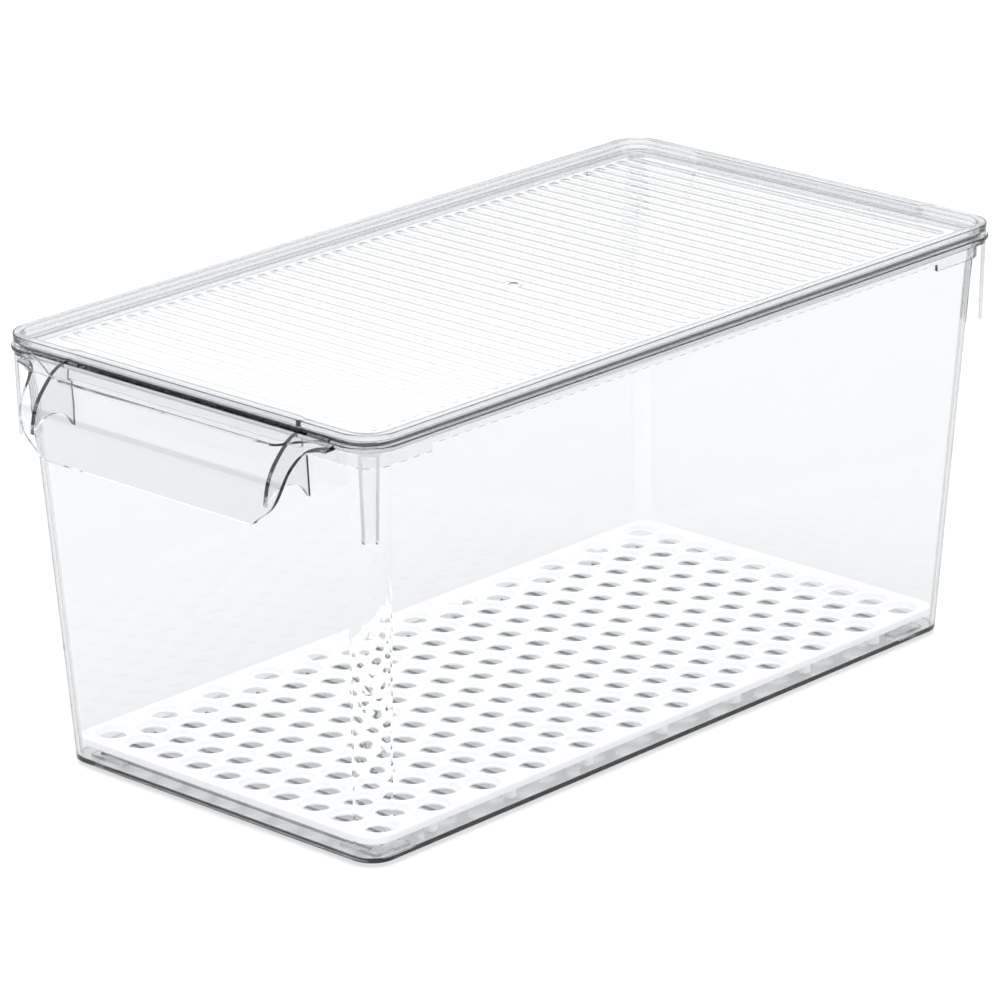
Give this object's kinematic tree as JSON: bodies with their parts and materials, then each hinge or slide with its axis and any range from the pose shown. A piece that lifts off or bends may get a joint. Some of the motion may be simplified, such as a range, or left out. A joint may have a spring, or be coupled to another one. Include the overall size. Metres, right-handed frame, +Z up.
{
  "type": "fridge bin",
  "caption": "Clear open-topped fridge bin with tapered walls, a front pull handle, a loose grooved lid that takes a second bin on top, and a perforated white drain tray on its floor.",
  "frame": {"origin": "centre of the whole object's outline seen from above, on the plane that its four feet stand on", "axes": "+Z up, -Y towards the user and the pull handle, X across the bin"},
  "size_m": [0.2016, 0.3918, 0.1788],
  "materials": {
    "clear_plastic": "clear, polished",
    "white_plastic": "opaque white, satin"
  },
  "bodies": {
    "bin_body": {"bin": "clear_plastic"},
    "lid_body": {"lid": "clear_plastic"},
    "tray_body": {"drain_tray": "white_plastic"}
  },
  "joints": [
    {"name": "lid_lift", "type": "slide", "parent": "bin_body", "child": "lid_body", "axis": [0, 0, 1], "range_m": [0, 0.18]},
    {"name": "tray_lift", "type": "slide", "parent": "bin_body", "child": "tray_body", "axis": [0, 0, 1], "range_m": [0, 0.155]}
  ]
}
